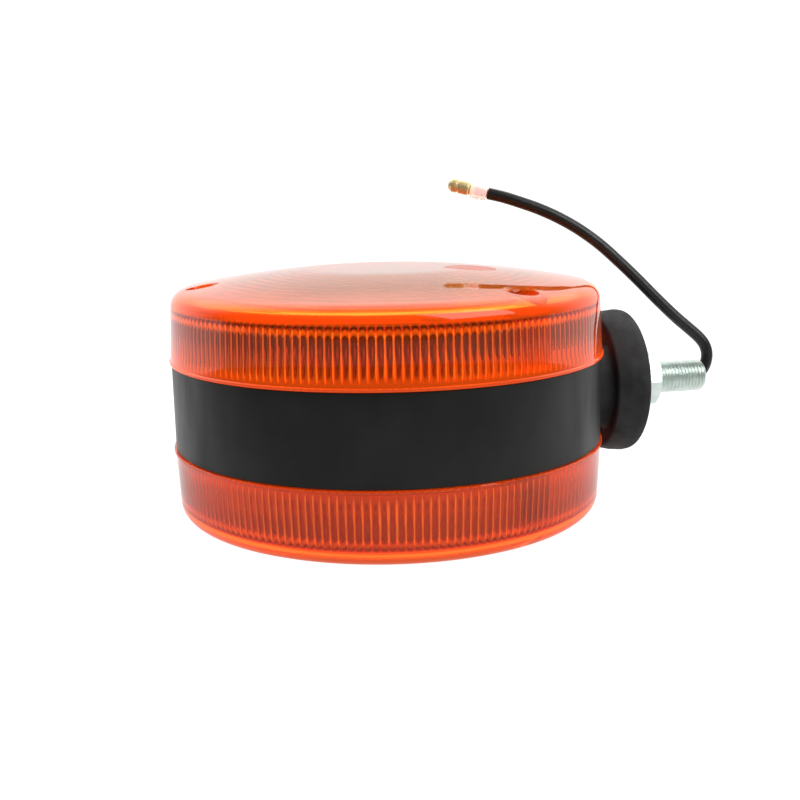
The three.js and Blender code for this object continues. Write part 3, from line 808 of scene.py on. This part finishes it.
def add_post(shell, centre):
    """A screw's post inside the lens, with its recess in the face and its hole."""
    sides = 64
    post = turned("post", [
        (POST_FOOT_Z, 0), (POST_FOOT_Z, POST_RADIUS - 0.15, 0.3), (DOME_APEX_Z, POST_RADIUS + 0.1),
        (DOME_APEX_Z, 0),
    ], "z", sides, centre)
    under = POST_FOOT_Z - 2
    inner = [ring_z(z, radius, sides * 3) for z, radius in face_outline(1.0)]
    inner += [ring_z(under, FOOT_RADIUS - 1.1, sides * 3), [(0, 0, under)]]
    combine(post, loft("inner", inner), "INTERSECT")
    combine(shell, post, "UNION")
    rim = DOME_APEX_Z - DOME_RADIUS + math.sqrt(DOME_RADIUS ** 2 - SCREW_CIRCLE ** 2)
    combine(shell, turned("recess", [
        (RECESS_FLOOR_Z, 0), (RECESS_FLOOR_Z, RECESS_RADIUS - 0.15, 0.3), (rim - 0.6, RECESS_RADIUS),
        (rim + 0.1, RECESS_RADIUS + 0.35, 0.8), (rim + 2.5, RECESS_RADIUS + 3.2), (rim + 2.5, 0),
    ], "z", sides, centre))
    combine(shell, turned("hole", [
        (POST_FOOT_Z - 1, 0), (POST_FOOT_Z - 1, SCREW_HOLE_RADIUS),
        (RECESS_FLOOR_Z + 1, SCREW_HOLE_RADIUS), (RECESS_FLOOR_Z + 1, 0),
    ], "z", 32, centre))


def lens(side):
    """The lens is built about its own axis as the upper one, and the lower one is turned over."""
    shell = loft(f"{side}_lens_moulding", lens_rings())
    for angle in SCREW_ANGLES:
        turn = math.radians(angle)
        add_post(shell, (SCREW_CIRCLE * math.cos(turn), SCREW_CIRCLE * math.sin(turn)))
    if side == "lower":
        shell.data.transform(Quaternion((1, 0, 0), math.pi).to_matrix().to_4x4())
    for vert in shell.data.vertices:
        vert.co.x += AXIS_X * MM
    return dress(shell, "lens", f"{side}_lens", sharp=30)


def gasket(side, sign):
    foot, top, inner, outer = sign * 10.2, sign * 11.75, 57.6, 59.15
    seal = turned(f"{side}_seal", [
        (foot, inner, 0.2), (foot, outer, 0.2), (top, outer, 0.3), (top, inner, 0.3),
    ], "z", 240, (AXIS_X, 0))
    return dress(seal, "rubber", f"{side}_gasket")


def lens_screw(side, sign, number):
    centre = at_screw(SCREW_ANGLES[number - 1], sign)
    foot = RECESS_FLOOR_Z + GAP
    top = foot + SCREW_HEAD_HEIGHT
    screw = turned(f"{side}_pan_screw_{number}", [
        (sign * SCREW_TIP_Z, 0), (sign * (SCREW_TIP_Z + 2), SCREW_SHANK_RADIUS),
        (sign * foot, SCREW_SHANK_RADIUS), (sign * foot, SCREW_HEAD_RADIUS, 0.2),
        (sign * (foot + 0.9), SCREW_HEAD_RADIUS, 0.5), (sign * top, 2.1, 0.8), (sign * top, 0),
    ], "z", 48, centre)
    x, y = centre
    depth = sorted((sign * (top - 1.3), sign * (top + 1)))
    for long, wide in ((1.8, 0.42), (0.42, 1.8)):
        combine(screw, block("slot", (x - long, x + long), (y - wide, y + wide), depth))
    return dress(screw, "zinc", f"{side}_lens_screw_{number}")


for lens_side, up in (("upper", 1), ("lower", -1)):
    lens(lens_side)
    gasket(lens_side, up)
    for count in (1, 2, 3):
        lens_screw(lens_side, up, count)


# ---- Housing -----------------------------------------------------------------------------------
def add_boss(ring, angle):
    """A screw boss joined to the band by a web, with a post's seat and a hole at each end."""
    place = at_screw(angle)
    boss = turned("boss", [
        (-BOSS_TOP_Z, 0), (-BOSS_TOP_Z, BOSS_RADIUS, 0.3), (BOSS_TOP_Z, BOSS_RADIUS, 0.3),
        (BOSS_TOP_Z, 0),
    ], "z", 48, place)
    past = PAST_HOUSING_Z
    core = turned("core", [
        (-past, 0), (-past, SPIGOT_RADIUS - 0.1), (past, SPIGOT_RADIUS - 0.1), (past, 0),
    ], "z", 288, (AXIS_X, 0))
    combine(boss, core, "INTERSECT")
    combine(ring, boss, "UNION")
    sides = (-BOSS_WEB_HALF, BOSS_WEB_HALF)
    web = block("web", (SCREW_CIRCLE, SPIGOT_RADIUS + 0.2), sides, (-BOSS_TOP_Z, BOSS_TOP_Z))
    about_axis = Matrix.Rotation(math.radians(angle), 4, "Z")
    web.data.transform(Matrix.Translation((AXIS_X * MM, 0, 0)) @ about_axis)
    combine(ring, web, "UNION")
    cuts = (
        ("post_seat", BOSS_TOP_Z, POST_RADIUS + GAP, 48),
        ("hole", BOSS_HOLE_FLOOR_Z, SCREW_HOLE_RADIUS, 32),
    )
    for sign in (-1, 1):
        for name, foot, radius, count in cuts:
            low, high = sign * foot, sign * past
            cut = turned(name, [(low, 0), (low, radius), (high, radius), (high, 0)], "z", count, place)
            combine(ring, cut)


def housing():
    inner = SPIGOT_RADIUS
    top = SEAM_Z - 0.15
    ring = turned("housing_band", [
        (-SPIGOT_TOP_Z, SPIGOT_INNER_RADIUS, 0.3), (-SPIGOT_TOP_Z, inner, 0.3), (-LEDGE_Z, inner),
        (-LEDGE_Z, LEDGE_RADIUS), (-top, LEDGE_RADIUS), (-top, BAND_RADIUS, 0.3),
        (top, BAND_RADIUS, 0.3), (top, LEDGE_RADIUS), (LEDGE_Z, LEDGE_RADIUS), (LEDGE_Z, inner),
        (SPIGOT_TOP_Z, inner, 0.3), (SPIGOT_TOP_Z, SPIGOT_INNER_RADIUS, 0.3),
        (SPIGOT_ROOT_Z, SPIGOT_INNER_RADIUS), (SPIGOT_ROOT_Z, inner + 0.1),
        (-SPIGOT_ROOT_Z, inner + 0.1), (-SPIGOT_ROOT_Z, SPIGOT_INNER_RADIUS),
    ], "z", 288, (AXIS_X, 0))
    for angle in SCREW_ANGLES:
        add_boss(ring, angle)
    combine(ring, block("pad", (PAD_FACE_X, AXIS_X + inner + 1.2), (-13, 13), (-10, 10)), "UNION")
    combine(ring, turned("stud_hole", [
        (-24, 0), (-24, CLEARANCE_RADIUS), (-5, CLEARANCE_RADIUS), (-5, 0),
    ]))
    return dress(ring, "black_plastic", "housing_ring")


housing()


# ---- Pedestal, stud, washer and nut ------------------------------------------------------------
def pedestal():
    sides = 128
    against = BAND_RADIUS + 0.15

    def ring(x, radius_at):
        """A ring with its radius given at each turn; x None follows the band."""
        points = []
        for turn in turns_of(sides):
            y = radius_at(turn) * math.cos(turn)
            place = AXIS_X + math.sqrt(against ** 2 - y ** 2) if x is None else x
            points.append((place, y, radius_at(turn) * math.sin(turn)))
        return points

    def neck(x, grow=0.0):
        """The neck's outline, a disc with its top and bottom cut flat."""
        def radius_at(turn):
            flat = (NECK_HALF_HEIGHT + grow) / max(abs(math.sin(turn)), 1e-6)
            return soft_min(NECK_RADIUS + grow, flat, 1.2)

        return ring(x, radius_at)

    back = FLANGE_BACK_X
    bore = CLEARANCE_RADIUS + 0.1
    flange = rounded([
        (back, 17.6), (back, 19.6, 0.9), (-6.0, 20.55, 4), (-2.6, 20.9, 2.2), (0, 20.5, 1.9),
        (0, 12.0, 0.3), (-0.8, 11.8), (-0.8, bore + 0.1, 0.2),
    ])[:-1]
    rings = [neck(None), neck(back - 1.1), neck(back - 0.5, 0.15), neck(back - 0.15, 0.45)]
    rings += [neck(back, 1.0), *(ring_x(x, radius, sides) for x, radius in flange)]
    rings += [ring(-0.8, lambda turn: bore), ring(None, lambda turn: bore)]
    return dress(loft("rubber_pedestal", rings, closed=True), "rubber", "pedestal", sharp=40)


def threaded_rod(name, start, end):
    """A rod with a right-handed thread, built on a grid that leans with the thread."""
    around = 48
    along = 10
    crest = STUD_RADIUS - 0.02
    root = crest - THREAD_DEPTH
    shape = [crest, crest, 0.75, 0.5, 0.25, root, root, 0.25, 0.5, 0.75]
    depth = [value if value > 1 else root + (crest - root) * value for value in shape]
    rows = int((end - start) / THREAD_PITCH * along) + 2 * along
    mesh = bmesh.new()

    def at(row, column):
        turn = 2 * math.pi * column / around
        x = start + THREAD_PITCH * (row / along + column / around - 1)
        radius = depth[row % along]
        return (x * MM, radius * math.cos(turn) * MM, radius * math.sin(turn) * MM)

    verts = [[mesh.verts.new(at(row, column)) for column in range(around)] for row in range(rows + 1)]

    def vert(row, column):
        return verts[row][column] if column < around else verts[row + along][0]

    for row in range(rows):
        for column in range(around if row < rows - along else around - 1):
            near = (vert(row, column), vert(row + 1, column))
            far = (vert(row + 1, column + 1), vert(row, column + 1))
            mesh.faces.new((*near, *far))
    edges = [edge for edge in mesh.edges if len(edge.link_faces) == 1]
    low_cap = mesh.verts.new(((start - 2 * THREAD_PITCH) * MM, 0, 0))
    high_cap = mesh.verts.new(((end + 3 * THREAD_PITCH) * MM, 0, 0))
    middle = (start + end) / 2 * MM
    for edge in edges:
        cap = low_cap if edge.verts[0].co.x < middle else high_cap
        mesh.faces.new((edge.verts[0], edge.verts[1], cap))
    return made(name, mesh)


def hexagon(name, start, end):
    """A hexagon bar with a corner towards -Y and its end corners turned to a chamfer."""
    rings = [ring_x(x, HEX_CORNER, 6) for x in (start, end)]
    bar = loft(name, [[(start, 0, 0)], *rings, [(end, 0, 0)]])
    blank = turned("blank", [
        (start, 0), (start, 7.0, 0.1), (start + 0.75, HEX_CORNER, 0.2),
        (end - 0.75, HEX_CORNER, 0.2), (end, 7.0, 0.1), (end, 0),
    ], sides=144)
    return combine(bar, blank, "INTERSECT")


def stud():
    foot = STUD_HEAD_FOOT_X
    head = hexagon("hollow_stud", foot - 4.5, foot)
    rod = threaded_rod("thread", foot - 1, STUD_END_X)
    combine(rod, turned("blank", [
        (foot - 1, 0), (foot - 1, STUD_RADIUS), (STUD_END_X - 0.9, STUD_RADIUS),
        (STUD_END_X, STUD_RADIUS - 0.7, 0.15), (STUD_END_X, 0),
    ]), "INTERSECT")
    combine(head, rod, "UNION")
    combine(head, turned("bore", [
        (foot - 6, 0), (foot - 6, STUD_BORE), (STUD_END_X - 0.8, STUD_BORE, 0.3),
        (STUD_END_X + 1, STUD_BORE + 1.6), (STUD_END_X + 1, 0),
    ], sides=64))
    return dress(head, "zinc", "mounting_stud", sharp=40)


def nut():
    start, end = NUT_X
    bore = STUD_RADIUS + 0.1
    piece = hexagon("hexagon_nut", start, end)
    combine(piece, turned("bore", [
        (start - 1, 0), (start - 1, 6.3), (start + 0.6, bore), (end - 0.6, bore), (end + 1, 6.3),
        (end + 1, 0),
    ], sides=64))
    bevel(piece, 0.1, 25)
    return dress(piece, "zinc", "mounting_nut", body="nut", sharp=25)


def washer():
    bore = CLEARANCE_RADIUS
    piece = turned("plain_ring", [
        (-0.5, bore, 0.15), (-0.5, 10, 0.3), (1.1, 10, 0.3), (1.1, bore, 0.15),
    ])
    return dress(piece, "zinc", "plain_washer", body="washer")


pedestal()
stud()
nut()
washer()


# ---- Bulb holder, contact and bulb -------------------------------------------------------------
def about_x(degrees, x=0):
    return Matrix.Translation((x * MM, 0, 0)) @ Matrix.Rotation(math.radians(degrees), 4, "X")


def radial_rod(name, low, high, radius, x, degrees, fillet=0.0):
    """A rod on a radius of the X axis, from +Y turned by degrees about X."""
    rod = turned(name, [(low, 0), (low, radius), (high, radius, fillet), (high, 0)], sides=32)
    rod.data.transform(about_x(degrees, x) @ Matrix.Rotation(math.pi / 2, 4, "Z"))
    return rod


def wire(name, points, radii, sides=12):
    """A round wire through points, each with its own radius."""
    points = [Vector(point) for point in points]
    arm = Vector((0, 1, 0))
    rings = [[points[0]]]
    for i, point in enumerate(points):
        along = (points[min(i + 1, len(points) - 1)] - points[max(i - 1, 0)]).normalized()
        arm = (arm - along * arm.dot(along)).normalized()
        other = along.cross(arm)
        arms = [arm * math.cos(turn) + other * math.sin(turn) for turn in turns_of(sides)]
        rings.append([point + reach * radii[i] for reach in arms])
    rings.append([points[-1]])
    return loft(name, rings)


def socket_shell():
    mouth, rear, lip = SOCKET_MOUTH_X, SOCKET_REAR_X, SOCKET_REAR_X - 0.8
    inner, outer, flange = SOCKET_INNER_RADIUS, SOCKET_RADIUS, SOCKET_FLANGE_RADIUS
    shell = turned("bayonet_socket", [
        (mouth, inner, 0.25), (mouth, outer, 0.25), (-34.7, outer, 0.3), (-34.7, flange, 0.3),
        (-33.7, flange, 0.3), (-33.7, outer, 0.3), (rear, outer, 0.6), (rear, 5.6, 0.2),
        (lip, 5.6, 0.2), (lip, inner, 0.4),
    ])
    way = PIN_RADIUS + GAP
    steps = 8
    for i in range(steps + 1):
        turn = -BAYONET_TURN * i / steps
        combine(shell, radial_rod("pin_way", -10, 10, way, PIN_X + BAYONET_PUSH * i / steps, turn))
    entry = block("entry", (mouth - 1, PIN_X + BAYONET_PUSH), (-10, 10), (-way, way))
    entry.data.transform(about_x(-BAYONET_TURN))
    combine(shell, entry)
    return dress(shell, "zinc", "socket_shell")


def contact_spring():
    start, end = CARRIER_X + 1.95, SOCKET_REAR_X - 1.55
    turns = 3
    steps = 32 * turns
    coil = []
    for i in range(steps + 1):
        turn = 2 * math.pi * turns * i / steps
        x = start + (end - start) * i / steps
        coil.append((x, SPRING_RADIUS * math.cos(turn), SPRING_RADIUS * math.sin(turn)))
    spring = wire("coil_spring", coil, [SPRING_WIRE_RADIUS] * len(coil))
    dress(spring, "spring_steel", "contact_spring")
    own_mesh(spring)


def contact():
    front, back = CARRIER_X, CARRIER_X + CARRIER_THICKNESS
    disc = turned("contact_disc", [
        (front, 1.3, 0.1), (front, 7.4, 0.2), (back, 7.4, 0.2), (back, 1.3, 0.1),
    ])
    dress(disc, "fibre", "contact_carrier", body="contact")
    rivet = turned("contact_stud", [
        (-40.3, 0), (-40.3, 2.0, 0.3), (-39.7, 2.4, 0.1), (-39.7, 1.0), (-37.9, 1.0),
        (-37.9, 1.7, 0.1), (-36.5, 1.7, 0.4), (-36.5, 0),
    ], sides=48)
    dress(rivet, "brass", "contact_rivet", body="contact")
    low, high = cad("inner_lead")
    inner = turned("inner_wire", [
        (low.x, 0), (low.x, LEAD_RADIUS, 0.2), (high.x, LEAD_RADIUS, 0.2), (high.x, 0),
    ], sides=32)
    inner.data.transform(Matrix.Translation((0, 0, ((low + high) / 2).z * MM)))
    dress(inner, "lead_black", "inner_lead", body="contact")


def bulb():
    rear = BULB_END_X - 1.1
    front = rear - CAP_LENGTH
    inner = CAP_RADIUS - 0.5
    cap = turned("bayonet_cap", [
        (front, inner, 0.15), (front, CAP_RADIUS, 0.2), (rear, CAP_RADIUS, 0.45), (rear, inner, 0.2),
    ])
    for degrees in (0, 180):
        combine(cap, radial_rod("pin", 7.2, 8.9, PIN_RADIUS, PIN_X, degrees, 0.35), "UNION")
    dress(cap, "brass", "bulb_cap", body="bulb")
    insulator = turned("cap_insulation", [(-43.7, 0), (-43.7, 6.7, 0.3), (-41.5, 6.7, 0.7), (-41.5, 0)])
    dress(insulator, "vitrite", "bulb_insulator", body="bulb")
    tip = turned("solder_tip", [
        (-41.2, 0), (-41.2, 2.4, 0.3), (BULB_END_X, 1.6, 0.4), (BULB_END_X, 0),
    ], sides=48)
    dress(tip, "solder", "bulb_contact", body="bulb")


def bulb_glass():
    ball_x = BULB_TIP_X + GLASS_RADIUS
    shoulder_x = BULB_END_X - 20
    steps = 20

    def side(wall):
        outline = [(BULB_TIP_X + wall, 0)]
        for i in range(1, steps + 1):
            turn = math.pi / 2 * i / steps
            radius = GLASS_RADIUS - wall
            outline.append((ball_x - radius * math.cos(turn), radius * math.sin(turn)))
        for i in range(1, steps + 1):
            share = i / steps
            blend = (1 + math.cos(math.pi * share)) / 2
            radius = GLASS_NECK_RADIUS + (GLASS_RADIUS - GLASS_NECK_RADIUS) * blend
            outline.append((ball_x + (shoulder_x - ball_x) * share, radius - wall))
        outline.append((BULB_END_X - 12, GLASS_NECK_RADIUS - wall))
        return outline

    glass = turned("bulb_envelope", side(0) + side(GLASS_WALL)[::-1])
    return dress(glass, "bulb_glass", "bulb_glass", body="bulb")


def bulb_filament():
    """One wire: up a support, along the coiled filament's bow and back down."""
    bow = 4.2
    foot_x = BULB_END_X - 5
    top_x = PIN_X - 31.8
    support = [
        (foot_x, -2.2), (foot_x - 12, -2.4), (top_x + 9, -3.4), (top_x + 4, -bow),
        (top_x + 0.6, -bow),
    ]
    coil = []
    turns = 15
    steps = 12 * turns
    for i in range(steps + 1):
        share = i / steps
        turn = 2 * math.pi * turns * share
        z = (2 * share - 1) * (bow - 0.2)
        x = top_x - 0.4 * (1 - (z / bow) ** 2) + 0.45 * math.cos(turn)
        coil.append((x, 0.45 * math.sin(turn), z))
    up = [(x, 0, z) for x, z in support]
    down = [(x, 0, -z) for x, z in reversed(support)]
    radii = [0.35] * len(up) + [0.13] * len(coil) + [0.35] * len(down)
    filament = wire("coiled_filament", up + coil + down, radii, 8)
    return dress(filament, "tungsten", "bulb_filament", body="bulb")


socket_shell()
contact_spring()
contact()
bulb()
bulb_glass()
bulb_filament()


# ---- Carried-over CAD nodes --------------------------------------------------------------------
slots = {entry["node"]: entry["material_slot"] for entry in frame["record"]["subparts"]}
for node_name, node in frame["nodes"].items():
    if node.hide_render:
        continue
    node.data.materials.clear()
    node.data.materials.append(LOOKS[slots[node_name]])


# ---- Studio ------------------------------------------------------------------------------------
def ahead():
    """The level direction from the camera towards the lamp."""
    return ((CAMERA_AIM - CAMERA_PLACE) * Vector((1, 1, 0))).normalized()


def floor():
    """Pale paper, lit from behind the lamp and falling off towards the camera."""
    look = Look("pale_floor")
    look.colour(look.noise(2, 2), (0.14, 0.14, 0.14), (0.16, 0.16, 0.16))
    look.rough(look.noise(3, 2), 0.85, 0.95)
    light = look.step(look.compared("DOT_PRODUCT", look.place, ahead()), -0.20, 0.12, 0.22, 0.8)
    rays = look.node("ShaderNodeLightPath").outputs
    light = look.math("MAXIMUM", light, look.math("MULTIPLY", rays["Is Transmission Ray"], 1.5))
    light = look.math("MAXIMUM", light, rays["Is Camera Ray"])
    look.plug(light, look.shader.inputs["Emission Strength"])
    look.shader.inputs["Emission Color"].default_value = (1, 1, 1, 1)
    reach = 6
    level = (FLOOR_Z - 0.02) * MM
    data = bpy.data.meshes.new("studio_floor")
    signs = ((-1, -1), (1, -1), (1, 1), (-1, 1))
    data.from_pydata([(x * reach, y * reach, level) for x, y in signs], [], [(0, 1, 2, 3)])
    data.materials.append(look.material)
    placed("studio_floor", data)


def soft_light(name, place, size, power, mirrored=False):
    data = bpy.data.lights.new(name, "AREA")
    data.shape = "SQUARE"
    data.size = size
    data.energy = power
    light = placed(name, data)
    light.location = place
    light.rotation_mode = "QUATERNION"
    middle = Vector((AXIS_X, 0, 0)) * MM
    light.rotation_quaternion = (middle - light.location).to_track_quat("-Z", "Y")
    light.visible_glossy = mirrored


def world():
    """A white backdrop behind the lamp that falls off to a dim room behind the camera."""
    sky = bpy.data.worlds.new("studio")
    bpy.context.scene.world = sky
    sky.use_nodes = True
    graph = Graph(sky.node_tree)
    direction = graph.node("ShaderNodeTexCoord").outputs["Generated"]
    fall = graph.step(graph.compared("DOT_PRODUCT", direction, ahead()), 0.0, 0.6, 0.05, 1.05)
    up = graph.node("ShaderNodeSeparateXYZ", Vector=direction).outputs["Z"]
    rise = graph.step(up, 0.34, 0.48, 1.0, 1.4)
    seen = graph.node("ShaderNodeLightPath").outputs["Is Camera Ray"]
    background = graph.tree.nodes["Background"]
    strength = graph.math("MAXIMUM", seen, graph.math("MULTIPLY", fall, rise))
    graph.plug(strength, background.inputs["Strength"])
    background.inputs["Color"].default_value = (1, 1, 1, 1)


floor()
soft_light("overhead", (-0.07, 0.25, 1.3), 1.8, 22)
soft_light("key", (0.45, -0.62, 0.72), 0.7, 5.0, mirrored=True)
world()
bpy.context.scene.view_settings.view_transform = "Standard"
